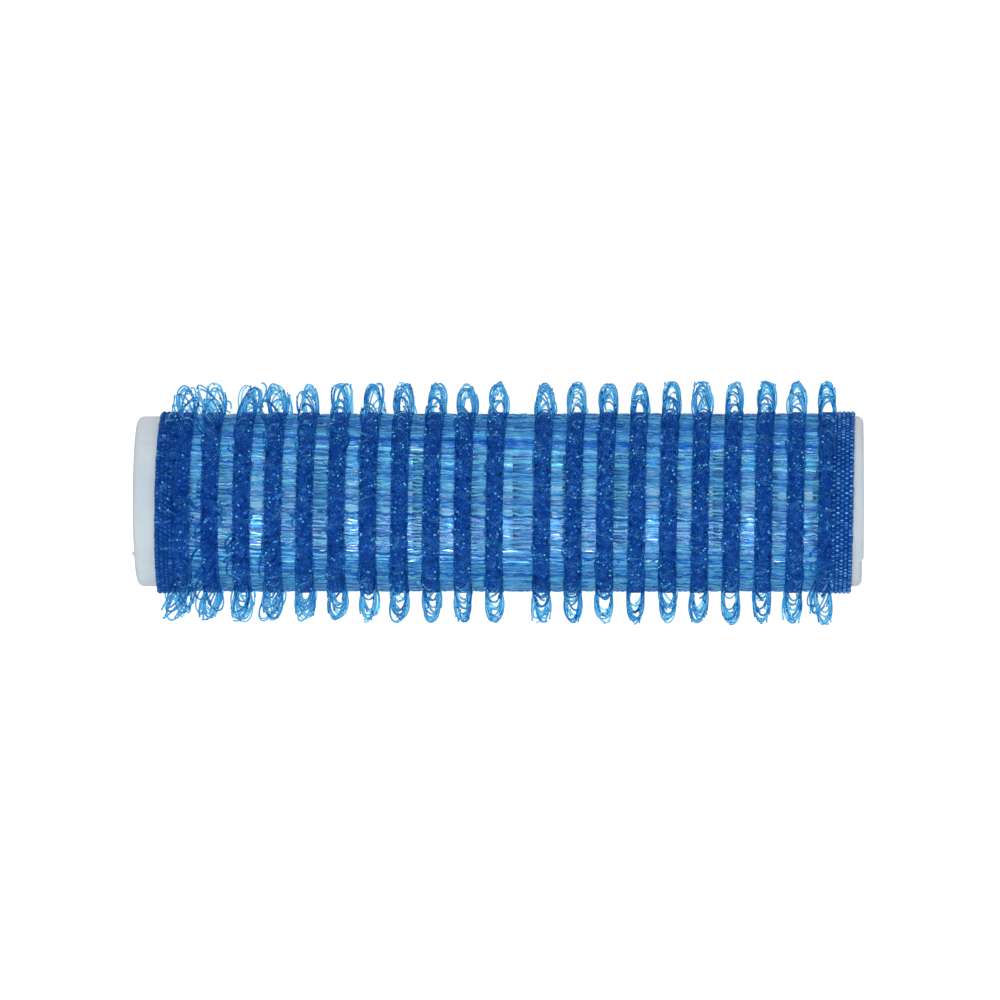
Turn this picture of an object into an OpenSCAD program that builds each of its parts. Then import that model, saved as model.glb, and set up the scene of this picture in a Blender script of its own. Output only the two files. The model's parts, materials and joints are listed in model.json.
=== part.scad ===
// Self-grip hair roller: a moulded lattice core inside a sleeve of woven hook tape.
// The roller lies along X. Z = 0 is the surface that its hooks rest on, and X = 0, Y = 0 is the
// middle of the core. The sleeve's seam faces down, where the hooks leave a narrow gap.

/* [Core] */
// Length of the core along X
core_length = 63.5; // [62:0.5:70]
// Outer diameter of the core
core_diameter = 14.9; // [13:0.1:18]
// Wall thickness of the core
core_wall = 1.0; // [0.8:0.1:1.3]
// Radius of the rounded outer lip at both ends
lip_radius = 0.6; // [0.2:0.1:0.7]
// Distance from one row of slots to the next
slot_pitch = 4.34; // [4:0.02:5]
// Length of a slot along X
slot_length = 1.74; // [1:0.02:2.2]
// Angle that a slot takes around the core
slot_angle = 70; // [40:1:76]
// How far the upper mould half's end stands past the lower one's
mould_step = 0.15; // [0.05:0.05:0.3]

/* [Sleeve] */
// Bare collar of core left of the sleeve
left_collar = 1.95; // [1:0.05:3]
// How far the loose sleeve stands off the core
sleeve_play = 0.10; // [0.03:0.01:0.2]
// Thickness of the open ground cloth
cloth_thickness = 0.14; // [0.1:0.01:0.25]
// Width of the dense woven edge at the left end
left_selvedge = 1.49; // [0.8:0.01:1.6]
// Width of the dense woven edge at the right end
right_selvedge = 1.83; // [0.8:0.01:1.9]
// Width of a dense woven band
band_width = 1.54; // [1.2:0.02:1.8]
// Width of the last band, which is narrower and runs into the right selvedge
last_band_width = 1.20; // [1:0.02:1.6]
// Thickness of a dense woven band above the ground cloth
band_thickness = 0.20; // [0.1:0.01:0.4]
// How far the sleeve's weave leans from square to the core's axis, in degrees
weave_lean = 1.0; // [0:0.1:1.5]
// Width of the welded seam under the roller, as an angle
seam_angle = 18; // [12:1:24]

/* [Hooks] */
// Rows of hooks left of the wide gap
left_rows = 11; // [8:1:11]
// Rows of hooks right of the wide gap
right_rows = 10; // [8:1:10]
// Distance between the first two rows, where the sleeve is squeezed
first_pitch = 2.49; // [2.2:0.01:2.5]
// Distance from any other row of hooks to the next
row_pitch = 2.75; // [2.4:0.01:2.75]
// Distance between the two rows on either side of the wide gap
wide_pitch = 4.10; // [3:0.05:4.1]
// Width of a row of hooks along X
hook_width = 1.70; // [1.3:0.05:1.8]
// Height of the hooks above their woven band
hook_height = 2.65; // [2:0.05:3.5]

/* [Hidden] */
$fn = 96;
// A hair's breadth between a layer and the one under it
layer_gap = 0.03;
// Extra length that carries a cutter past the surface it cuts
past = 1;

core_radius = core_diameter / 2;
bore_radius = core_radius - core_wall;
bore_rounding = 0.2;
slots_around = 4;
solid_ring = slot_pitch - slot_length;
slot_rows = floor((core_length - solid_ring) / slot_pitch);
// The mould parts at this angle from straight up, towards -Y, along a rib of the lattice
parting_angle = 45;
nub_radius = 0.17;
nub_length = 0.2;
nub_angle = 180 + parting_angle - 4;

cloth_radius = core_radius + sleeve_play;
cloth_top = cloth_radius + cloth_thickness;
band_radius = cloth_top + layer_gap;
band_top = band_radius + band_thickness;
hook_radius = band_top + layer_gap;
tip_radius = hook_radius + hook_height;
axis_height = tip_radius * cos(seam_angle / 2);

rows = left_rows + right_rows;
sleeve_start = left_collar - core_length / 2;
sleeve_end = row_x(rows) + last_band_width / 2 + right_selvedge;

core_colour = [0.80, 0.85, 0.88];
cloth_colour = [0.33, 0.58, 0.82];
band_colour = [0.09, 0.29, 0.60];
hook_colour = [0.24, 0.60, 0.86];

// The middle of a row along X, counted from 1 at the left
function row_x(i) = sleeve_start + left_selvedge + band_width / 2
    + (i > 1 ? first_pitch + (i - 2) * row_pitch : 0)
    + (i > left_rows ? wide_pitch - row_pitch : 0)
    - (i == rows ? (band_width - last_band_width) / 2 : 0);
function two_digits(i) = str(i < 10 ? "0" : "", i);
function band_name(i) = str("woven_band_", two_digits(i));
function row_name(i) = str("hook_row_", two_digits(i));

// Turns a shape made around Z into one around the roller's axis. Its start angle then
// counts from straight down.
module on_axis() {
    translate([0, 0, axis_height]) rotate([0, 90, 0]) children();
}

// The corner that rounding an edge takes away, with its sharp point at the origin
module corner_waste(radius) {
    difference() {
        translate([-radius, -radius]) square([radius + past, radius + past]);
        translate([-radius, -radius]) circle(r = radius);
    }
}

// A solid bar from the core's middle to one end, with the rounded outer lip
module half_bar(half_length) {
    rotate_extrude() bar_profile(half_length);
}

// Half of the bar's outline, as radius against length
module bar_profile(half_length) {
    difference() {
        square([core_radius, half_length]);
        translate([core_radius, half_length]) corner_waste(lip_radius);
    }
}

// Rounds the bore's mouth where it meets an end face at the given distance along the axis
module mouth_waste(end) {
    rotate_extrude() translate([bore_radius, end]) mirror([1, 0]) corner_waste(bore_rounding);
}

// One row of slots: each is a ring sector cut through the wall, and the ribs stay between
module slot_row() {
    for (i = [0:slots_around - 1])
        rotate([0, 0, i * 360 / slots_around - slot_angle / 2])
            rotate_extrude(angle = slot_angle)
                translate([bore_radius - past, -slot_length / 2])
                    square([core_wall + 2 * past, slot_length]);
}

// The lattice core: both mould halves, the step between them at the right end, the bore,
// the slots and the sprue's nub at the left end
module core_tube() {
    half_length = core_length / 2;
    color(core_colour) on_axis() {
        difference() {
            union() {
                mirror([0, 0, 1]) half_bar(half_length);
                half_bar(half_length - mould_step);
                rotate([0, 0, parting_angle]) rotate_extrude(angle = 180) bar_profile(half_length);
            }
            cylinder(r = bore_radius, h = core_length + 2 * past, center = true);
            mirror([0, 0, 1]) mouth_waste(half_length);
            mouth_waste(half_length - mould_step);
            for (i = [0:slot_rows - 1])
                translate([0, 0, (i - (slot_rows - 1) / 2) * slot_pitch]) slot_row();
        }
        rotate([0, 0, nub_angle])
            translate([core_radius - core_wall / 2, 0, -half_length - nub_length])
                cylinder(r = nub_radius, h = nub_length + layer_gap);
    }
}

// The half space on the sleeve's side of its leaning end. side is 1 to keep what is right
// of x, and -1 to keep what is left of it.
module beyond(x, side) {
    far = 2 * core_length;
    translate([x, 0, axis_height]) rotate([0, 0, -weave_lean])
        translate([side * far / 2, 0, 0]) cube([far, far, far], center = true);
}

// The thin cloth that carries every band, cut along the lean of its weave at both ends
module ground_cloth() {
    color(cloth_colour) intersection() {
        on_axis() difference() {
            cylinder(r = cloth_top, h = core_length, center = true);
            cylinder(r = cloth_radius, h = core_length + 2 * past, center = true);
        }
        beyond(sleeve_start, 1);
        beyond(sleeve_end, -1);
    }
}

// Lays a profile of radius against length around the axis at x, leaning with the weave and
// open at the seam
module leaning_ring(x) {
    translate([x, 0, axis_height]) rotate([0, 0, -weave_lean]) rotate([0, 90, 0])
        rotate([0, 0, seam_angle / 2]) rotate_extrude(angle = 360 - seam_angle) children();
}

// A flat woven ring of the given width on top of the ground cloth
module woven_ring(x, width) {
    color(band_colour) leaning_ring(x)
        translate([band_radius, layer_gap - width / 2])
            square([band_thickness, width - 2 * layer_gap]);
}

module selvedge_left() {
    woven_ring(sleeve_start + left_selvedge / 2, left_selvedge);
}

module selvedge_right() {
    woven_ring(sleeve_end - right_selvedge / 2, right_selvedge);
}

module woven_band(i) {
    woven_ring(row_x(i), i < rows ? band_width : last_band_width);
}

// The space that one row's hooks fill, round at their tips
module hook_row(i) {
    color(hook_colour) leaning_ring(row_x(i)) {
        translate([hook_radius, -hook_width / 2])
            square([hook_height - hook_width / 2, hook_width]);
        intersection() {
            translate([tip_radius - hook_width / 2, 0]) circle(d = hook_width);
            translate([tip_radius - hook_width / 2, -hook_width])
                square([hook_width, 2 * hook_width]);
        }
    }
}

// The melted lap that closes the sleeve: a flat strip in the gap between the bands' ends
module seam_weld() {
    strip_angle = seam_angle - 1;
    color(band_colour) intersection() {
        on_axis() rotate([0, 0, -strip_angle / 2]) rotate_extrude(angle = strip_angle)
            translate([band_radius, -core_length / 2])
                square([band_thickness * 0.7, core_length]);
        beyond(sleeve_start, 1);
        beyond(sleeve_end, -1);
    }
}

core_tube();
ground_cloth();
seam_weld();
selvedge_left();
selvedge_right();
for (i = [1:rows]) {
    woven_band(i);
    hook_row(i);
}
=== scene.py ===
"""Self-grip hair roller: a translucent lattice core in a woven sleeve with rows of cut nylon hooks.

Lengths in this file are in millimetres, and MM turns them into Blender's metres. Places on the
sleeve are given as x along the roller, a turn angle from straight up towards +Y, and a radius.
"""

import json
import math

import bpy
import numpy as np
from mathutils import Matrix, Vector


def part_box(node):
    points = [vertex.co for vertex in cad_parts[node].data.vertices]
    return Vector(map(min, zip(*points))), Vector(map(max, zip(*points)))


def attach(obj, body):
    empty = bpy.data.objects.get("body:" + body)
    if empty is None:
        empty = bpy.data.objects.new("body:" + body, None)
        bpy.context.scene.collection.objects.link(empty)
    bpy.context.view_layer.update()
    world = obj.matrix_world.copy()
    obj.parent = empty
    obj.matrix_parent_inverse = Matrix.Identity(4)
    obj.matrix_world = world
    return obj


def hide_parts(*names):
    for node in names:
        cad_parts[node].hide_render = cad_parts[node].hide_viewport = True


MM = 0.001

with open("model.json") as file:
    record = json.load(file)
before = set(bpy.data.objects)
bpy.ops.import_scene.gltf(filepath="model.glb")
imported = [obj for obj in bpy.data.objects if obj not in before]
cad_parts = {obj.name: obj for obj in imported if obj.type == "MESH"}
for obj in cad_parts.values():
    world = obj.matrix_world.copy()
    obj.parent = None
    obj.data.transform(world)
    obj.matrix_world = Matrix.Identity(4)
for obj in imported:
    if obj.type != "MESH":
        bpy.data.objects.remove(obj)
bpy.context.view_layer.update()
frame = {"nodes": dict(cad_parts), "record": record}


# ---------------------------------------------------------------- sizes taken from the frame

def node_box(node):
    """Lowest and highest corner of a CAD node, in millimetres."""
    low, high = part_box(node)
    return np.array(low) / MM, np.array(high) / MM


def numbered(prefix):
    return sorted(n for n in frame["nodes"] if n.startswith(prefix))


BAND_NODES = numbered("woven_band_")
HOOK_NODES = numbered("hook_row_")

CORE_LOW, CORE_HIGH = node_box("core_tube")
AXIS_Z = (CORE_LOW[2] + CORE_HIGH[2]) / 2
CORE_R = (CORE_HIGH[1] - CORE_LOW[1]) / 2
BORE_R = next(m for m in frame["record"]["mounts"] if m["name"] == "bore")["dims"]["r_mm"]

CLOTH_LOW, CLOTH_HIGH = node_box("ground_cloth")
CLOTH_R = (CLOTH_HIGH[1] - CLOTH_LOW[1]) / 2
BAND_LOW, BAND_HIGH = node_box(BAND_NODES[0])
BAND_R = (BAND_HIGH[1] - BAND_LOW[1]) / 2
HOOK_LOW, HOOK_HIGH = node_box(HOOK_NODES[0])
TIP_R = (HOOK_HIGH[1] - HOOK_LOW[1]) / 2

WEAVE_LEAN = math.radians(1.0)
# How far the weave has leant along X, in millimetres, for each radian away from straight up
LEAN_PER_RADIAN = 0.9 * BAND_R * math.tan(WEAVE_LEAN)
# The loose sleeve hangs this far to one side of the core
SLEEVE_SAG = 0.11


def leaning_width(low, high, radius):
    """Width along X of a ring that leans, less what its lean adds to its box."""
    return high[0] - low[0] - 2 * radius * math.sin(WEAVE_LEAN)


BAND_WIDTHS = [leaning_width(*node_box(n), BAND_R) for n in BAND_NODES]
SLEEVE_START = CLOTH_LOW[0] + CLOTH_R * math.sin(WEAVE_LEAN)
SLEEVE_END = CLOTH_HIGH[0] - CLOTH_R * math.sin(WEAVE_LEAN)
ROW_X = [float(sum(c[0] for c in node_box(n)) / 2) for n in HOOK_NODES]
SEAM_HALF = math.acos(AXIS_Z / TIP_R)


def on_sleeve(x, angle, radius):
    """World points, in millimetres, of places on the sleeve. The weave's lean is added to x."""
    x, angle, radius = np.broadcast_arrays(x, angle, radius)
    return np.stack(
        [
            x + LEAN_PER_RADIAN * angle,
            radius * np.sin(angle) - SLEEVE_SAG,
            AXIS_Z + radius * np.cos(angle),
        ],
        axis=-1,
    )


def round_the_sleeve(angle):
    """The direction along the sleeve's surface, square to X, at each turn angle."""
    return np.stack([0 * angle, np.cos(angle), -np.sin(angle)], axis=-1)


# ---------------------------------------------------------------- meshes from arrays

def unit(vectors):
    """Vectors of length 1 along the given ones."""
    return vectors / np.maximum(np.linalg.norm(vectors, axis=-1, keepdims=True), 1e-12)


def grid_quads(index):
    """Quads between neighbouring rows and columns of a grid of vertex numbers."""
    corners = [index[:-1, :-1], index[:-1, 1:], index[1:, 1:], index[1:, :-1]]
    return np.stack(corners, axis=-1).reshape(-1, 4)


class MeshParts:
    """Collects vertices and faces of many strands or sheets, then makes one object of them."""

    def __init__(self):
        self.vertices, self.faces, self.tints, self.count = [], [], [], 0

    def add(self, vertices, faces, tint):
        """vertices is (n, 3) in millimetres, faces a list of (m, corners) index arrays."""
        self.vertices.append(vertices)
        self.faces += [f + self.count for f in faces]
        self.tints.append(np.broadcast_to(tint, len(vertices)))
        self.count += len(vertices)

    def sweep(self, points, across, half_width, half_height, sides, tint, start=0.0):
        """Tubes along points (strands, rings, 3). across is the direction of their width, and
        start the place of the section's first corner, as a share of one side."""
        strands, rings = points.shape[:2]
        along = unit(np.gradient(points, axis=1))
        up = unit(np.cross(along, across))
        side = np.cross(up, along)
        turn = (np.arange(sides) + start) * 2 * math.pi / sides
        half_width = np.broadcast_to(half_width, (strands, rings))[..., None, None]
        half_height = np.broadcast_to(half_height, (strands, rings))[..., None, None]
        circle = (
            side[:, :, None] * np.cos(turn)[:, None] * half_width
            + up[:, :, None] * np.sin(turn)[:, None] * half_height
        )
        vertices = (points[:, :, None] + circle).reshape(-1, 3)
        index = np.arange(strands * rings * sides).reshape(strands, rings, sides)
        following = np.roll(index, -1, axis=2)
        walls = np.stack(
            [index[:, :-1], following[:, :-1], following[:, 1:], index[:, 1:]], axis=-1
        )
        tint = np.broadcast_to(tint, (strands, rings))
        self.add(
            vertices,
            [walls.reshape(-1, 4), index[:, 0, ::-1], index[:, -1]],
            np.repeat(tint.ravel(), sides),
        )

    def make(self, name, material):
        """One object of all the parts, with each vertex's tint in the attribute strand_tint."""
        vertices = np.concatenate(self.vertices) * MM
        counts = np.concatenate([np.full(len(f), f.shape[1]) for f in self.faces])
        corners = np.concatenate([f.ravel() for f in self.faces])
        mesh = bpy.data.meshes.new(name)
        mesh.vertices.add(len(vertices))
        mesh.vertices.foreach_set("co", vertices.astype(np.float32).ravel())
        mesh.loops.add(len(corners))
        mesh.loops.foreach_set("vertex_index", corners.astype(np.int32))
        mesh.polygons.add(len(counts))
        starts = np.concatenate([[0], np.cumsum(counts)[:-1]])
        mesh.polygons.foreach_set("loop_start", starts.astype(np.int32))
        mesh.update(calc_edges=True)
        mesh.shade_smooth()
        tint = mesh.attributes.new("strand_tint", "FLOAT", "POINT")
        tint.data.foreach_set("value", np.concatenate(self.tints).astype(np.float32))
        mesh.materials.append(material)
        piece = bpy.data.objects.new(name, mesh)
        bpy.context.scene.collection.objects.link(piece)
        return piece


def stand_for(piece, slot, *nodes):
    """Puts a finished piece on the part's one body, in place of its plain CAD solids."""
    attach(piece, "root")
    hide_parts(*nodes)
    return piece


# ---------------------------------------------------------------- materials

def new_material(name):
    """A material, its nodes and links, and its one surface shader."""
    material = bpy.data.materials.new(name)
    material.use_nodes = True
    nodes = material.node_tree.nodes
    return material, nodes, material.node_tree.links, nodes["Principled BSDF"]


def set_inputs(node, values):
    """Sets a node's own sockets, given by name."""
    for socket, value in values.items():
        node.inputs[socket].default_value = value


def noise_at(nodes, links, scale, detail=3.0):
    """A noise node in object space. scale is in features for each metre."""
    place = nodes.new("ShaderNodeTexCoord")
    noise = nodes.new("ShaderNodeTexNoise")
    set_inputs(noise, {"Scale": scale, "Detail": detail})
    links.new(place.outputs["Object"], noise.inputs["Vector"])
    return noise


def colour_ramp(nodes, links, value, *stops):
    """The output of a colour ramp that follows a node's value. A stop is (place, colour)."""
    ramp = nodes.new("ShaderNodeValToRGB")
    elements = ramp.color_ramp.elements
    for _ in stops[2:]:
        elements.new(0.5)
    for element, (place, colour) in zip(elements, stops):
        element.position = place
        element.color = (*colour, 1)
    links.new(value, ramp.inputs["Fac"])
    return ramp.outputs["Color"]


def add_bump(nodes, links, surface, noise, strength, height):
    """Roughens a surface by a noise node, by up to height in millimetres."""
    bump = nodes.new("ShaderNodeBump")
    set_inputs(bump, {"Strength": strength, "Distance": height * MM})
    links.new(noise.outputs["Fac"], bump.inputs["Height"])
    links.new(bump.outputs["Normal"], surface.inputs["Normal"])


def mean_value(nodes, links, first, second):
    """The mean of two nodes' values."""
    total = nodes.new("ShaderNodeMath")
    total.operation = "ADD"
    links.new(first, total.inputs[0])
    links.new(second, total.inputs[1])
    half = nodes.new("ShaderNodeMath")
    half.operation = "MULTIPLY"
    half.inputs[1].default_value = 0.5
    links.new(total.outputs["Value"], half.inputs[0])
    return half.outputs["Value"]


# A cut end has this tint, and its thread is clear again this much tint further on
CUT_END_TINT = -0.8
CUT_END_FADE = 0.25


def nylon(name, dark, light, finish, mottle=1400.0, grain=0.0, ends=None, glint=None):
    """Dyed nylon thread. Its colour runs from dark to light from strand to strand, and mottles
    along each. ends is the colour of its cut ends, and glint that of its few lightest places,
    which are painted glints. grain is the strength of a fine bump."""
    material, nodes, links, surface = new_material(name)
    set_inputs(surface, {"IOR": 1.53, **finish})
    tint = nodes.new("ShaderNodeAttribute")
    tint.attribute_name = "strand_tint"
    noise = noise_at(nodes, links, mottle)
    shade = mean_value(nodes, links, noise.outputs["Fac"], tint.outputs["Fac"])
    stops = (0.0, ends or dark), (0.2, dark), (0.8, light), (1.0, glint or light)
    links.new(colour_ramp(nodes, links, shade, *stops), surface.inputs["Base Color"])
    if ends:
        clear = nodes.new("ShaderNodeMapRange")
        fade = {
            "From Min": CUT_END_TINT,
            "From Max": CUT_END_TINT + CUT_END_FADE,
            "To Max": finish["Transmission Weight"],
        }
        set_inputs(clear, fade)
        links.new(tint.outputs["Fac"], clear.inputs["Value"])
        links.new(clear.outputs["Result"], surface.inputs["Transmission Weight"])
    if grain:
        add_bump(nodes, links, surface, noise_at(nodes, links, 9000.0, 2.0), grain, 0.02)
    return material


def mottled(name, scale, detail, dark, light, finish):
    """A material whose colour drifts between two, by a noise that it returns as well."""
    material, nodes, links, surface = new_material(name)
    set_inputs(surface, finish)
    noise = noise_at(nodes, links, scale, detail)
    colour = colour_ramp(nodes, links, noise.outputs["Fac"], (0.3, dark), (0.7, light))
    links.new(colour, surface.inputs["Base Color"])
    return material, noise


def core_plastic(name, dark, light, finish):
    """Natural, slightly cloudy moulded polyethylene. The lattice's copy carries painted light in
    its blue colour.
    """
    cloudy = {
        "Transmission Weight": 0.06,
        "IOR": 1.5,
        "Subsurface Weight": 0.25,
        "Subsurface Radius": (1.0, 1.0, 1.0),
        "Subsurface Scale": 0.8 * MM,
    }
    material, cloud = mottled(name, 260.0, 4.0, dark, light, {**cloudy, **finish})
    tree = material.node_tree
    add_bump(tree.nodes, tree.links, tree.nodes["Principled BSDF"], cloud, 0.25, 0.03)
    return material


def floor_paper():
    """The pale paper of the floor and the backdrop, which glows as if lit from behind."""
    glow = {
        "Roughness": 0.9,
        "Emission Color": (1.0, 1.0, 1.0, 1),
        "Emission Strength": 0.82,
    }
    return mottled("floor_paper", 40.0, 2.0, (0.34, 0.35, 0.36), (0.36, 0.37, 0.38), glow)[0]


DEEP_SHINE = (0.5, 0.8, 1.0, 1)
PALE_SHINE = (0.8, 0.93, 1.0, 1)
WOVEN_FINISH = {"Roughness": 0.45, "Specular IOR Level": 0.10, "Specular Tint": DEEP_SHINE}

HOOK_NYLON = nylon(
    "hook_nylon",
    (0.06, 0.38, 0.70),
    (0.32, 0.78, 0.97),
    {
        "Transmission Weight": 0.98,
        "Roughness": 0.15,
        "IOR": 1.18,
        "Specular IOR Level": 0.06,
        "Specular Tint": DEEP_SHINE,
    },
    ends=(0.14, 0.48, 0.82),
)
WEFT_NYLON = nylon(
    "weft_nylon",
    (0.002, 0.18, 0.72),
    (0.28, 0.86, 1.0),
    {
        "Transmission Weight": 0.68,
        "Roughness": 0.1,
        "IOR": 1.2,
        "Specular IOR Level": 1.0,
        "Specular Tint": PALE_SHINE,
        "Coat Weight": 1.0,
        "Coat Roughness": 0.12,
        "Coat IOR": 1.22,
        "Sheen Weight": 1.0,
        "Sheen Roughness": 0.4,
        "Sheen Tint": (0.1, 0.7, 1.0, 1),
    },
)
BAND_NYLON = nylon("band_nylon", (0.002, 0.050, 0.285), (0.054, 0.24, 0.645), WOVEN_FINISH)
# The selvedges' glint colour is painted highlight: it colours the warps' glint rings and the right
# selvedge's light floats.
EDGE_NYLON = nylon(
    "edge_nylon",
    (0.002, 0.043, 0.245),
    (0.047, 0.205, 0.58),
    WOVEN_FINISH,
    glint=(0.20, 0.50, 0.95),
)
MELTED_NYLON = nylon(
    "melted_nylon",
    (0.01, 0.07, 0.30),
    (0.02, 0.11, 0.42),
    {"Transmission Weight": 0.1, "Roughness": 0.3},
    mottle=700.0,
    grain=0.5,
)
COLLAR_PLASTIC = core_plastic(
    "collar_plastic",
    (0.49, 0.55, 0.60),
    (0.57, 0.62, 0.66),
    {"Roughness": 0.38, "Specular IOR Level": 0.1},
)
# The lattice under the sleeve is the same plastic with painted light in its colour: a blue that
# stands for the light coming through the blue sleeve.
LATTICE_PAINTED_BLUE_LIGHT = core_plastic(
    "lattice_painted_blue_light",
    (0.20, 0.55, 0.88),
    (0.28, 0.61, 0.92),
    {"Roughness": 0.13, "Coat Weight": 1.0, "Coat Roughness": 0.12, "Coat IOR": 2.9},
)


# ---------------------------------------------------------------- the moulded core

SLOT_PITCH = 4.34
SLOT_LENGTH = 1.74
SLOT_HALF_ANGLE = math.radians(35)
SLOTS_AROUND = 4
DEGREES_PER_LINE = 2.5
LIP_RADIUS = 0.6
LIP_POINTS = 8
MOUTH_RADIUS = 0.2
MOUTH_POINTS = 5
EDGE_ROUNDING = 0.08

# At the right end the mould half towards -Y is shorter than the other by the step, and all its
# points this near to that end move back
MOULD_STEP = 0.15
MOULD_STEP_REACH = 1.2
PARTING_ANGLE = -math.radians(45)
# The extra lines on either side of the parting, in degrees
PARTING_LINES = (-0.9, -0.45, -0.15, 0.15, 0.45, 0.9)
RIDGE_HEIGHT = 0.05
RIDGE_HALF_ANGLE = math.radians(0.7)

NUB_RADIUS = 0.17
NUB_ANGLE = math.radians(-41)
NUB_ROOT = -0.1
NUB_NECK = 0.03


def core_angles():
    """Angles around the core: an even round, with extra lines at the mould's parting."""
    even = np.radians(np.arange(-180, 180, DEGREES_PER_LINE))
    close = np.radians(PARTING_LINES)
    both = [PARTING_ANGLE, PARTING_ANGLE + math.pi]
    kept = [a for a in even if all(abs(a - p) > 0.01 for p in both)]
    return np.array(sorted(kept + [p + c for p in both for c in close] + both))


def arc(x, radius, size, start, end, count):
    """Points (x, radius) of a quarter round of a lathe profile."""
    turn = np.radians(np.linspace(start, end, count))
    return [(x + size * math.cos(t), radius + size * math.sin(t)) for t in turn]


def core_profile(half, lines):
    """The core's closed outline (x, radius), with two points at each end line of its slots:
    out along its outside from the left end, and back along its bore."""
    lip_x, lip_r = half - LIP_RADIUS, CORE_R - LIP_RADIUS
    mouth_x, mouth_r = half - MOUTH_RADIUS, BORE_R + MOUTH_RADIUS
    left_lip = arc(-lip_x, lip_r, LIP_RADIUS, 180, 90, LIP_POINTS)
    outside = [(x, CORE_R) for x in lines]
    right_lip = arc(lip_x, lip_r, LIP_RADIUS, 90, 0, LIP_POINTS)
    right_mouth = arc(mouth_x, mouth_r, MOUTH_RADIUS, 0, -90, MOUTH_POINTS)
    bore = [(x, BORE_R) for x in reversed(lines)]
    left_mouth = arc(-mouth_x, mouth_r, MOUTH_RADIUS, -90, -180, MOUTH_POINTS)
    right = outside + right_lip + right_mouth
    return np.array(left_lip + right + bore + left_mouth + left_lip[:1])


def turned_profile(profile, angles, half):
    """Vertices (profile points, angles, 3) of the core, with the ridge along its parting and
    the step between its mould halves."""
    turned = ((angles - PARTING_ANGLE) % (2 * math.pi))[None]
    x, radius = profile[:, :1], profile[:, 1:]
    short_end = (turned > math.pi) & (x > half - MOULD_STEP_REACH)
    x = x - np.where(short_end, MOULD_STEP, 0)
    from_parting = np.minimum(turned % math.pi, math.pi - turned % math.pi)
    ridge = RIDGE_HEIGHT * np.clip(1 - from_parting / RIDGE_HALF_ANGLE, 0, 1)
    radius = radius + np.where(radius > CORE_R - LIP_RADIUS, ridge, 0)
    points = [x, radius * np.sin(angles), AXIS_Z + radius * np.cos(angles)]
    return np.stack(np.broadcast_arrays(*points), axis=-1)


def slotted_faces(index, angles, rows):
    """Faces of the core, on a grid of vertex numbers, with its slots cut through the wall."""
    middle_angle = angles + (np.roll(angles, -1) - angles) % (2 * math.pi) / 2
    quadrant = 2 * math.pi / SLOTS_AROUND
    from_slot = np.abs((middle_angle + quadrant / 2) % quadrant - quadrant / 2)
    in_slot = from_slot < SLOT_HALF_ANGLE
    here = np.flatnonzero(in_slot)
    starts = np.flatnonzero(in_slot & ~np.roll(in_slot, 1))
    ends = np.flatnonzero(~in_slot & np.roll(in_slot, 1))
    count = len(index)
    quads = grid_quads(index).reshape(count - 1, len(angles), 4)
    solid = np.ones(quads.shape[:2], bool)
    walls = []
    for row in range(rows):
        out_a = LIP_POINTS + 2 * row
        in_a = count - 1 - MOUTH_POINTS - 2 * row
        solid[out_a, here] = False
        solid[in_a - 1, here] = False
        for line_out, line_in, flip in ((out_a, in_a, 1), (out_a + 1, in_a - 1, -1)):
            a, b = index[line_out, here], index[line_out, here + 1]
            c, d = index[line_in, here + 1], index[line_in, here]
            walls.append(np.stack([a, b, c, d], -1)[:, ::flip])
        for side, flip in ((starts, -1), (ends, 1)):
            a, b = index[out_a, side], index[out_a + 1, side]
            c, d = index[in_a - 1, side], index[in_a, side]
            walls.append(np.stack([a, b, c, d], -1)[:, ::flip])
    return [quads[solid], *walls]


def sprue_nub(half):
    """The cut sprue at the core's left end: the points of its dome, their width direction, and
    its half width and half height along them."""
    turn = np.radians([0, 0, 22.5, 45, 67.5])
    out = np.where(np.arange(len(turn)) == 0, NUB_ROOT, NUB_NECK) + NUB_RADIUS * np.sin(turn)
    middle = (CORE_R + BORE_R) / 2
    points = np.zeros((1, len(turn), 3))
    points[0, :, 0] = -half - out
    points[0, :, 1] = middle * math.sin(NUB_ANGLE)
    points[0, :, 2] = AXIS_Z + middle * math.cos(NUB_ANGLE)
    size = (NUB_RADIUS * np.cos(turn))[None]
    return points, np.array([0.0, 1.0, 0.0]), size, size


def build_core():
    """The moulded tube: a lathed profile with its slots, its parting and its sprue's nub."""
    half = CORE_HIGH[0]
    rows = int((2 * half - (SLOT_PITCH - SLOT_LENGTH)) // SLOT_PITCH)
    middles = [(i - (rows - 1) / 2) * SLOT_PITCH for i in range(rows)]
    lines = [m + s * SLOT_LENGTH / 2 for m in middles for s in (-1, 1)]
    profile = core_profile(half, lines)
    angles = core_angles()
    vertices = turned_profile(profile, angles, half)
    index = np.arange(vertices.shape[0] * vertices.shape[1]).reshape(vertices.shape[:2])
    index[-1] = index[0]
    index = np.concatenate([index, index[:, :1]], axis=1)
    parts = MeshParts()
    parts.add(vertices.reshape(-1, 3), slotted_faces(index, angles, rows), 0.5)
    parts.sweep(*sprue_nub(half), 12, 0.5)
    core = parts.make("core_moulding", COLLAR_PLASTIC)
    core.data.materials.append(LATTICE_PAINTED_BLUE_LIGHT)
    # Faces between the collars take the lattice copy, with its painted blue light; the collars keep
    # the plain plastic.
    for face in core.data.polygons:
        face.material_index = int(abs(face.center.x) < middles[-1] * MM)
    bevel = core.modifiers.new("soft_edges", "BEVEL")
    bevel.width = EDGE_ROUNDING * MM
    bevel.segments = 2
    bevel.angle_limit = math.radians(40)
    return core


# ---------------------------------------------------------------- the ground cloth

WEFTS = 230
WEFT_HALF_WIDTH = 0.076
WEFT_HALF_HEIGHT = 0.050
WEFT_R = CLOTH_R - 0.02
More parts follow.
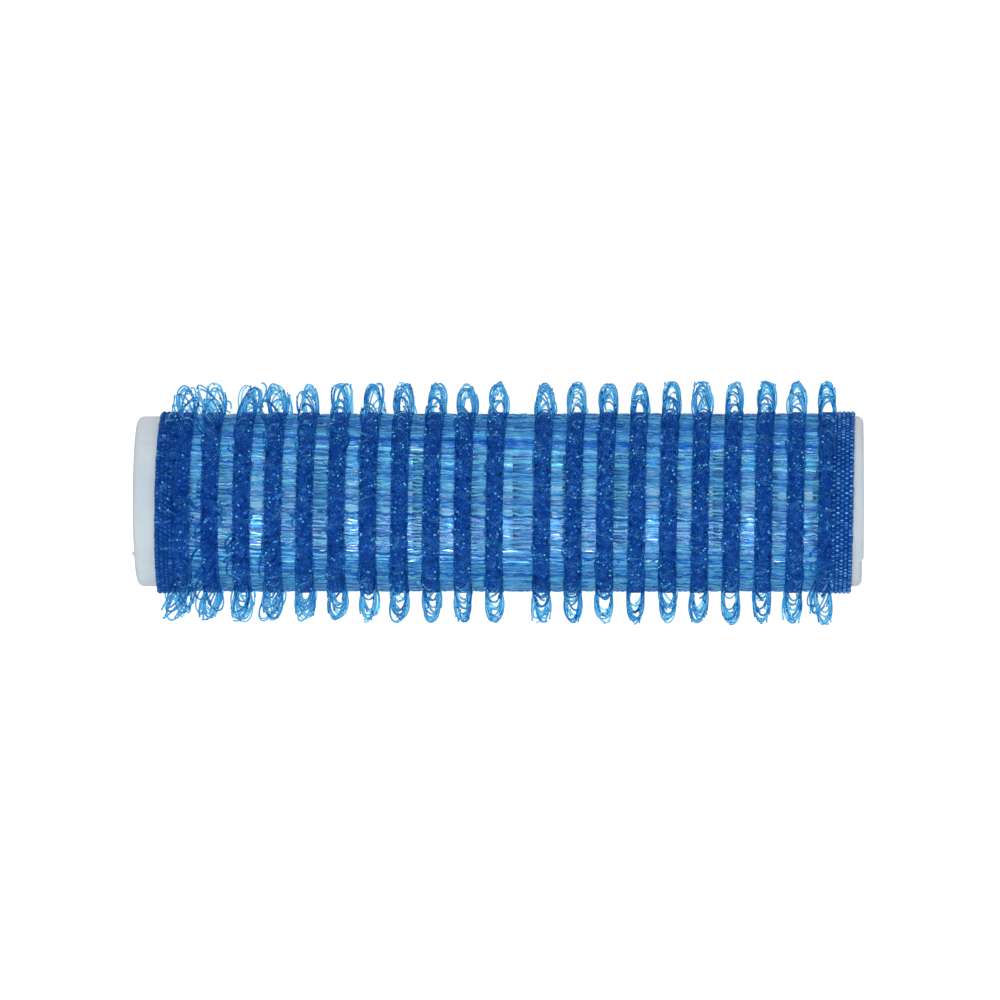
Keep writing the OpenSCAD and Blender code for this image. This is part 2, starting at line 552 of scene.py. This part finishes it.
# The ribbons' tilt around their own length, in radians, from weft to weft and along each
WEFT_TILT = 0.14
WEFT_TWIST = 0.015
# Waves around the sleeve, with a size in millimetres each, by which the wefts bunch and part
BUNCHES = ((23, 0.07), (31, 0.075), (38, 0.07), (47, 0.055), (55, 0.045), (66, 0.04))
BUNCH_DRIFT = 0.28
# How freely a weft moves sideways where each kind of place along X holds it
LOOSE = {"gap": 1.0, "band": 0.55}
# Wefts are painted this dark where they run through a selvedge: painted shade under its warps.
SELVEDGE_PAINTED_SHADE = -0.4
# How far inside a band's edge, and inside the sleeve's end, each weft has a ring
BAND_INSET = 0.05
END_INSET = 0.06


def selvedge_lines(low, high, count):
    """The middles of warps that lie side by side from low to high."""
    width = (high - low) / count
    return [low + (i + 0.5) * width for i in range(count)]


LEFT_WARPS = selvedge_lines(SLEEVE_START, ROW_X[0] - BAND_WIDTHS[0] / 2, 4)
RIGHT_WARPS = selvedge_lines(ROW_X[-1] + BAND_WIDTHS[-1] / 2, SLEEVE_END, 5)


def weft_slope(x):
    """How far round towards +Y the wefts have drifted at x, in millimetres."""
    return -0.026 * x + np.where(x < 0, 0.00048 * x * x, 0.0)


def weft_angle(number):
    """The turn angle of a weft, counted round from straight down."""
    return -math.pi + (number + 0.5) * 2 * math.pi / WEFTS


def weft_stations():
    """Places along X where each weft has a ring: x, what holds it there, and which one."""
    stations = [(SLEEVE_START + END_INSET, "edge", 1)]
    stations += [(x, "left", k) for k, x in enumerate(LEFT_WARPS)]
    for i, x in enumerate(ROW_X):
        half = BAND_WIDTHS[i] / 2
        inside = half - BAND_INSET
        stations += [(x - inside, "band", i), (x + inside, "band", i)]
        if i + 1 < len(ROW_X):
            gap = ROW_X[i + 1] - BAND_WIDTHS[i + 1] / 2 - x - half
            steps = 2 if gap < 2 else 4
            stations += [
                (x + half + gap * (k + 1) / (steps + 1), "gap", i) for k in range(steps)
            ]
    stations += [(x, "right", k) for k, x in enumerate(RIGHT_WARPS)]
    return stations + [(SLEEVE_END - END_INSET, "edge", len(RIGHT_WARPS))]


def build_wefts():
    """The flat threads along the roller, which bunch in the gaps and weave through the
    selvedges."""
    rng = np.random.default_rng(11)
    stations = weft_stations()
    x = np.array([s[0] for s in stations])
    number = np.arange(WEFTS)
    base = weft_angle(number)
    waves, sizes = np.array(BUNCHES).T
    phase = rng.uniform(0, 2 * math.pi, len(waves))
    slack = 1 + 1.5 * np.abs(np.sin(base)) ** 6
    shade = rng.beta(0.7, 0.7, (WEFTS, 1)) + rng.normal(0, 0.12, (WEFTS, len(x)))
    angle = np.zeros((WEFTS, len(x)))
    radius = np.full((WEFTS, len(x)), WEFT_R)
    for k, (place, held, which) in enumerate(stations):
        phase = phase + rng.normal(0, BUNCH_DRIFT, len(waves))
        bunch = (sizes * np.sin(base[:, None] * waves + phase)).sum(1)
        loose = LOOSE.get(held, 0.0)
        jitter = rng.normal(0, 0.04, WEFTS) * (loose + 0.08) * slack
        angle[:, k] = base + (weft_slope(place) + loose * bunch + jitter) / CLOTH_R
        over = (number + which) % 2 == 1
        if held == "gap":
            radius[:, k] += (rng.normal(0.0, 0.03, WEFTS) * slack).clip(-0.06, 0.1)
        elif held != "band":
            radius[:, k] = np.where(over, BAND_R - 0.04, WEFT_R)
            shade[:, k] = SELVEDGE_PAINTED_SHADE
    points = on_sleeve(x[None], angle, radius)
    # Half a side's turn lays a square section flat, and the root makes up for its corners.
    size = rng.uniform(0.85, 1.1, (WEFTS, 1)) * math.sqrt(2)
    half_width, half_height = WEFT_HALF_WIDTH * size, WEFT_HALF_HEIGHT * size
    tilted = angle + rng.normal(0, WEFT_TILT, (WEFTS, 1))
    tilted = tilted + rng.normal(0, WEFT_TWIST, (WEFTS, len(x)))
    around = round_the_sleeve(tilted)
    parts = MeshParts()
    parts.sweep(points, around, half_width, half_height, 4, shade, start=0.5)
    wefts = parts.make("cloth_wefts", WEFT_NYLON)
    wefts.data.shade_flat()
    return wefts


# ---------------------------------------------------------------- woven bands and selvedges

RINGS_PER_WAVE = 5
WEAVE_WAVES = WEFTS // 2
SEAM_TUCK = math.radians(1.0)
# The warps run from minus this turn angle to this one, and end under the seam
WEAVE_LIMIT = math.pi - SEAM_HALF + SEAM_TUCK
WARP_HALF_HEIGHT = 0.075
WARP_SWING = 0.05
WARP_WANDER = 0.03
# The share of a warp's rings that get a painted glint, and how much lighter those are painted
PAINTED_GLINT_SHARE = 0.045
PAINTED_GLINT_TINT = 1.2
WARPS_IN_BAND = 8

FLOAT_REACH = 0.42
FLOAT_RISE = 0.12
FLOAT_HALF_WIDTH = 0.065
FLOAT_HALF_HEIGHT = 0.05


def add_floats(parts, lines, shade, rng):
    """The short stretches of weft that pass over a selvedge's warps, and show there as dots."""
    reach = (lines[1] - lines[0]) * FLOAT_REACH * np.linspace(-1, 1, 7)
    crown = 1 - (reach / reach[-1]) ** 2
    for which, middle in enumerate(lines):
        angle = weft_angle(np.arange((which + 1) % 2, WEFTS, 2))
        angle = angle + weft_slope(middle) / CLOTH_R
        angle = angle[np.abs(angle) < WEAVE_LIMIT][:, None]
        count = len(angle)
        level = BAND_R - 0.10 + FLOAT_RISE * crown + rng.normal(0, 0.01, (count, 1))
        points = on_sleeve(middle + reach, angle, level)
        around = round_the_sleeve(angle + 0 * reach)
        size = rng.uniform(0.85, 1.1, (count, 1)) * (0.4 + 0.6 * crown)
        half_width, half_height = FLOAT_HALF_WIDTH * size, FLOAT_HALF_HEIGHT * size
        tint = shade + rng.normal(0, 0.3, (count, 1))
        parts.sweep(points, around, half_width, half_height, 6, tint)


def woven_ring(name, lines, half_width, material, seed, floats=None):
    """Flat warp yarns side by side around the sleeve, passing over and under the wefts. floats
    is the shade of the wefts that show on a selvedge."""
    rng = np.random.default_rng(seed)
    count = len(lines)
    rings = int(WEAVE_WAVES * RINGS_PER_WAVE * WEAVE_LIMIT / math.pi)
    every = (count, rings)
    middle = np.array(lines)[:, None]
    x = middle + rng.normal(0, WARP_WANDER, every)
    turn = np.broadcast_to(np.linspace(-WEAVE_LIMIT, WEAVE_LIMIT, rings), every)
    sign = np.where(np.arange(count) % 2 == 0, 1, -1)[:, None]
    over = sign * np.sin((turn - weft_slope(middle) / CLOTH_R) * WEAVE_WAVES)
    points = on_sleeve(x, turn, BAND_R - WARP_HALF_HEIGHT - WARP_SWING + WARP_SWING * over)
    half = half_width * rng.uniform(0.85, 1.2, every)
    shade = rng.normal(0.0, 0.12, every) + PAINTED_GLINT_TINT * (rng.random(every) < PAINTED_GLINT_SHARE)
    parts = MeshParts()
    parts.sweep(points, np.array([1.0, 0.0, 0.0]), half, WARP_HALF_HEIGHT, 5, shade)
    if floats is not None:
        add_floats(parts, lines, floats, rng)
    return parts.make(name, material)


def build_band(i):
    """The dense band under one row of hooks."""
    low = ROW_X[i] - BAND_WIDTHS[i] / 2
    pitch = BAND_WIDTHS[i] / WARPS_IN_BAND
    lines = [low + (k + 0.5) * pitch for k in range(WARPS_IN_BAND)]
    return woven_ring(f"band_weave_{i + 1:02d}", lines, pitch * 0.6, BAND_NYLON, 100 + i)


# ---------------------------------------------------------------- hooks

HOOK_HALF = 0.085
HOOK_PAIRS = 17
# The two kinds of thread that a cut loop leaves: rings, the shortest and longest share of the
# oval that it follows, and the turn past which it doesn't bend
HOOK = (15, 0.48, 0.82, math.pi)
STUB = (8, 0.24, 0.46, math.radians(50))
LOOP_START = math.radians(-40)
LOOP_HALF_WIDTH = 0.70
# How deep a thread starts in its band
HOOK_ROOT = 0.1
# Each row stands this much taller than the one before it, and one row as tall as in CAD
ROW_GROWTH = 0.012
CAD_HEIGHT_ROW = 8
# The rows at the left end are messy, from fully at the first to not at all at this one
MESSY_ROWS = 8
FALLEN_LEAN = 0.2
FALLEN_SHADE = 0.5
FLOOR_GAP = 0.1
# Loops that have fallen over the gap beside their row: row, angles, and lean along X
FALLEN = (
    (0, -0.2, -1.0, 0.32),
    (0, -1.2, -2.1, -0.50),
    (0, 2.1, 1.3, -0.22),
    (1, -0.2, -1.1, -0.32),
    (1, -1.3, -2.1, -0.22),
    (20, -0.2, -1.3, -0.36),
)


def loop_outline(share, width, height, inward, upright):
    """(across, up) of a point on the oval that a hook's thread follows, from 0 at one foot,
    over the top, towards 1 at the other foot. inward curls the far side into the oval, and an
    upright thread doesn't bend over the top."""
    turn = LOOP_START + share * (math.pi - 2 * LOOP_START)
    rise = height / (1 - math.sin(LOOP_START))
    curl = 1 - inward * np.clip((share - 0.55) / 0.35, 0, 1)
    bend = np.minimum(turn, upright)
    across = -width * np.cos(bend) * np.where(turn > math.pi / 2, curl, 1)
    up = rise * (np.sin(turn) - math.sin(LOOP_START))
    return across, up


def hook_lean(rng, row, base, mess):
    """How far each hook leans along X for each millimetre of height."""
    lean = rng.normal(0, 0.05 + 0.26 * mess, len(base)) - 0.06 * mess
    for fallen_row, start, end, tilt in FALLEN:
        if row == fallen_row:
            there = (base < start) & (base > end) & (rng.random(len(base)) < 0.6)
            lean = np.where(there, tilt * rng.uniform(0.6, 1.5, len(base)), lean)
    return lean[:, None]


def hook_threads(rng, row, base, side, share, lean, mess, upright):
    """Places (x, turn angle, radius) along one row's threads, each a stretch of the oval from
    the foot on its side, by the shares of it that its rings lie at."""
    count = len(base)
    width = (LOOP_HALF_WIDTH + 0.10 * mess) * rng.uniform(0.84, 1.10, (count, 1))
    tallest = TIP_R - BAND_R - HOOK_HALF + HOOK_ROOT + ROW_GROWTH * (row - CAD_HEIGHT_ROW)
    height = tallest * (1 - rng.gamma(1.5, 0.04 + 0.02 * mess, (count, 1)).clip(0, 0.4))
    inward = rng.uniform(0.0, 0.8, (count, 1))
    across, up = loop_outline(share, width, height, inward, upright)
    sway = rng.normal(0, 0.16 + 0.12 * mess, (count, 1))
    twist = rng.normal(0, math.radians(17 + 14 * mess), (count, 1))
    bow = rng.normal(0, 0.10, (count, 1))
    flick = rng.uniform(0, 0.22, (count, 1)) * (share / share[:, -1:]) ** 8
    x = ROW_X[row] + side * across * np.cos(twist) + lean * up
    sideways = across * np.sin(twist) + sway * up + bow * np.sin(share * math.pi * 2)
    return x, base[:, None] + sideways / (BAND_R + up), BAND_R - HOOK_ROOT + up + flick


def build_hooks(row):
    """One row of cut loops, in pairs of threads whose ovals face left and right in turn."""
    rng = np.random.default_rng(500 + row)
    mess = max(0.0, 1 - row / MESSY_ROWS) ** 1.5
    limit = math.pi - SEAM_HALF - math.radians(1.5)
    step = 2 * limit / HOOK_PAIRS
    count = 2 * HOOK_PAIRS
    parts = MeshParts()
    for side in (1, -1):
        loop = -limit + (np.arange(HOOK_PAIRS) + 0.5 + 0.25 * side) * step
        loop = loop + rng.normal(0, 0.22 * step, HOOK_PAIRS)
        lean = hook_lean(rng, row, loop, mess)
        base = np.repeat(loop, 2) + rng.normal(0, math.radians(1.3), count)
        lean = np.repeat(lean, 2, axis=0) + rng.normal(0, 0.02, (count, 1))
        base = base.clip(-limit, limit)
        for (rings, shortest, longest, upright), foot in ((HOOK, side), (STUB, -side)):
            share = rng.uniform(shortest, longest, (count, 1)) * np.linspace(0, 1, rings)
            x, angle, level = hook_threads(rng, row, base, foot, share, lean, mess, upright)
            points = on_sleeve(x, angle, level)
            points[..., 2] = np.maximum(points[..., 2], FLOOR_GAP)
            half = HOOK_HALF * rng.uniform(0.88, 1.1, (count, 1))
            tint = rng.uniform(0, 1, (count, 1)) - FALLEN_SHADE * (np.abs(lean) > FALLEN_LEAN)
            tint = np.repeat(tint, rings, 1)
            tint[:, -1] = CUT_END_TINT
            parts.sweep(points, round_the_sleeve(angle), half, half, 6, tint)
    return parts.make(f"hooks_{row + 1:02d}", HOOK_NYLON)


# ---------------------------------------------------------------- the welded seam

SEAM_STATIONS = 560
SEAM_POINTS = 26
SEAM_INSET = math.radians(0.6)
RAGGED_EVERY = 4
RAGGEDNESS = 0.05
SEAM_THICKNESS = 0.14
PRESS_DEPTH = 0.03
PRESS_TURNS = 9.0


def build_seam():
    """The melted lap: a flattened strip with the welding wheel's pattern pressed into it."""
    rng = np.random.default_rng(77)
    along = np.linspace(SLEEVE_START, SLEEVE_END, SEAM_STATIONS)
    across = np.linspace(-1, 1, SEAM_POINTS)
    knots = np.arange(0, SEAM_STATIONS + 1, RAGGED_EVERY)
    ragged = np.interp(np.arange(SEAM_STATIONS), knots, rng.normal(0, RAGGEDNESS, len(knots)))
    x = np.repeat(along[:, None], SEAM_POINTS, 1)
    spread = (SEAM_HALF - SEAM_INSET) * (1 + 0.8 * ragged[:, None] * np.sign(across))
    angle = math.pi + across * spread
    press = np.sin(PRESS_TURNS * (x + across)) * np.sin(PRESS_TURNS * (x - across))
    level = CLOTH_R + 0.03 + SEAM_THICKNESS * (1 - across**6)
    level = level + PRESS_DEPTH * press * (1 - across**4) + rng.normal(0, 0.004, x.shape)
    top = on_sleeve(x, angle, level)
    under = on_sleeve(x, angle, CLOTH_R - 0.02)
    # The weld runs straight along X, so the weave's lean comes off again.
    for sheet in (top, under):
        sheet[..., 0] = x
    index = np.arange(x.size).reshape(x.shape)
    low = index + x.size

    def wall(a, b):
        return np.stack([a[:-1], a[1:], b[1:], b[:-1]], -1)

    faces = [
        grid_quads(index)[:, ::-1],
        grid_quads(low),
        wall(low[:, 0], index[:, 0]),
        wall(index[:, -1], low[:, -1]),
        wall(index[0], low[0]),
        wall(low[-1], index[-1]),
    ]
    parts = MeshParts()
    parts.add(np.concatenate([top.reshape(-1, 3), under.reshape(-1, 3)]), faces, 0.5)
    return parts.make("seam_melt", MELTED_NYLON)


# ---------------------------------------------------------------- the object

stand_for(build_core(), "core_plastic", "core_tube")
cloth = stand_for(build_wefts(), "ground_yarn", "ground_cloth")
sewn = [
    stand_for(
        woven_ring("selvedge_weave_left", LEFT_WARPS, 0.21, EDGE_NYLON, 21, floats=0.3),
        "band_yarn",
        "selvedge_left",
    ),
    # The right selvedge's floats get a light shade, up to the glint colour: painted highlights on
    # its weft dots. The left's stay dark.
    stand_for(
        woven_ring("selvedge_weave_right", RIGHT_WARPS, 0.19, EDGE_NYLON, 22, floats=1.1),
        "band_yarn",
        "selvedge_right",
    ),
    stand_for(build_seam(), "band_yarn", "seam_weld"),
]
for i, (band, row) in enumerate(zip(BAND_NODES, HOOK_NODES)):
    sewn.append(stand_for(build_band(i), "band_yarn", band))
    sewn.append(stand_for(build_hooks(i), "hook_filament", row))


# ---------------------------------------------------------------- floor, light and camera

FLOOR_SIZE = 3.0
BACKDROP_RADIUS = 1.6
LIGHT_DISTANCE = 0.7
LIGHT_BOUNCES = 24


def build_floor():
    """A floor and a round backdrop, which give the object no diffuse light and no reflection."""
    bpy.ops.mesh.primitive_plane_add(size=FLOOR_SIZE, location=(0, 0, 0))
    floor = bpy.context.object
    floor.name = "floor"
    bpy.ops.mesh.primitive_uv_sphere_add(segments=48, ring_count=24, radius=BACKDROP_RADIUS)
    backdrop = bpy.context.object
    backdrop.name = "backdrop"
    backdrop.data.shade_smooth()
    backdrop.visible_shadow = False
    paper = floor_paper()
    for piece in (floor, backdrop):
        piece.data.materials.append(paper)
        piece.visible_diffuse = False
        piece.visible_glossy = False


def area_light(name, power, length, depth, place, turn, colour=(1, 1, 1)):
    """A rectangular light, with its sizes and place in metres and its power in watts."""
    light = bpy.data.lights.new(name, "AREA")
    light.color = colour
    light.shape = "RECTANGLE"
    light.size, light.size_y = length, depth
    light.energy = power
    lamp = bpy.data.objects.new(name, light)
    lamp.location = place
    lamp.rotation_euler = turn
    bpy.context.scene.collection.objects.link(lamp)


def softbox(name, degrees, depth, length, power, x=0.0, colour=(1, 1, 1)):
    """A soft light at an angle from straight up towards +Y, and at x along the roller."""
    turn = math.radians(degrees)
    across, up = LIGHT_DISTANCE * math.sin(turn), LIGHT_DISTANCE * math.cos(turn)
    place = (x, across, AXIS_Z * MM + up)
    area_light(name, power, length, depth, place, (-turn, 0, 0), colour)


def end_light(name, side):
    """A low fill that faces one end of the roller."""
    power, size, height = 0.5, 0.4, 0.15
    place = (side * LIGHT_DISTANCE, 0, height)
    area_light(name, power, size, size, place, (0, side * math.radians(78), 0))


def build_camera():
    """A long lens above the roller, a little to the right of straight up."""
    lens, sensor = 350.0, 36.0
    view_width = 87.51
    yaw = math.radians(1.75)
    distance = lens * view_width / sensor
    data = bpy.data.cameras.new("camera")
    data.lens, data.sensor_width = lens, sensor
    data.clip_start, data.clip_end = 0.05, 20
    camera = bpy.data.objects.new("camera", data)
    aim = np.array([-0.027, 0.11, AXIS_Z])
    place = aim + distance * np.array([math.sin(yaw), 0, math.cos(yaw)])
    camera.location = place * MM
    camera.rotation_euler = (0, yaw, 0)
    bpy.context.scene.collection.objects.link(camera)
    bpy.context.scene.camera = camera


def build_world():
    """Soft light that comes mostly from overhead and falls off towards the horizon."""
    world = bpy.data.worlds.new("studio")
    world.use_nodes = True
    nodes, links = world.node_tree.nodes, world.node_tree.links
    place = nodes.new("ShaderNodeTexCoord")
    parts = nodes.new("ShaderNodeSeparateXYZ")
    links.new(place.outputs["Generated"], parts.inputs["Vector"])
    half = nodes.new("ShaderNodeMapRange")
    half.inputs["From Min"].default_value = -1.0
    links.new(parts.outputs["Z"], half.inputs["Value"])
    levels = ((0.0, 0.60), (0.5, 0.40), (0.75, 0.45), (1.0, 0.85))
    stops = [(height, (0.98 * level, 0.99 * level, level)) for height, level in levels]
    colour = colour_ramp(nodes, links, half.outputs["Result"], *stops)
    links.new(colour, nodes["Background"].inputs["Color"])
    bpy.context.scene.world = world


build_floor()
softbox("lower_softbox", -42, 0.54, 0.22, 3.0, -0.02, (0.92, 1.0, 1.0))
softbox("upper_fill", 66, 0.50, 1.20, 2.3)
softbox("upper_strip", 51, 0.04, 0.30, 0.45)
softbox("far_strip", 71, 0.04, 0.30, 0.3)
end_light("left_end_light", -1)
end_light("right_end_light", 1)
build_world()
build_camera()
scene = bpy.context.scene
scene.view_settings.view_transform = "Standard"
scene.cycles.transparent_max_bounces = LIGHT_BOUNCES
scene.cycles.transmission_bounces = LIGHT_BOUNCES
scene.cycles.max_bounces = LIGHT_BOUNCES
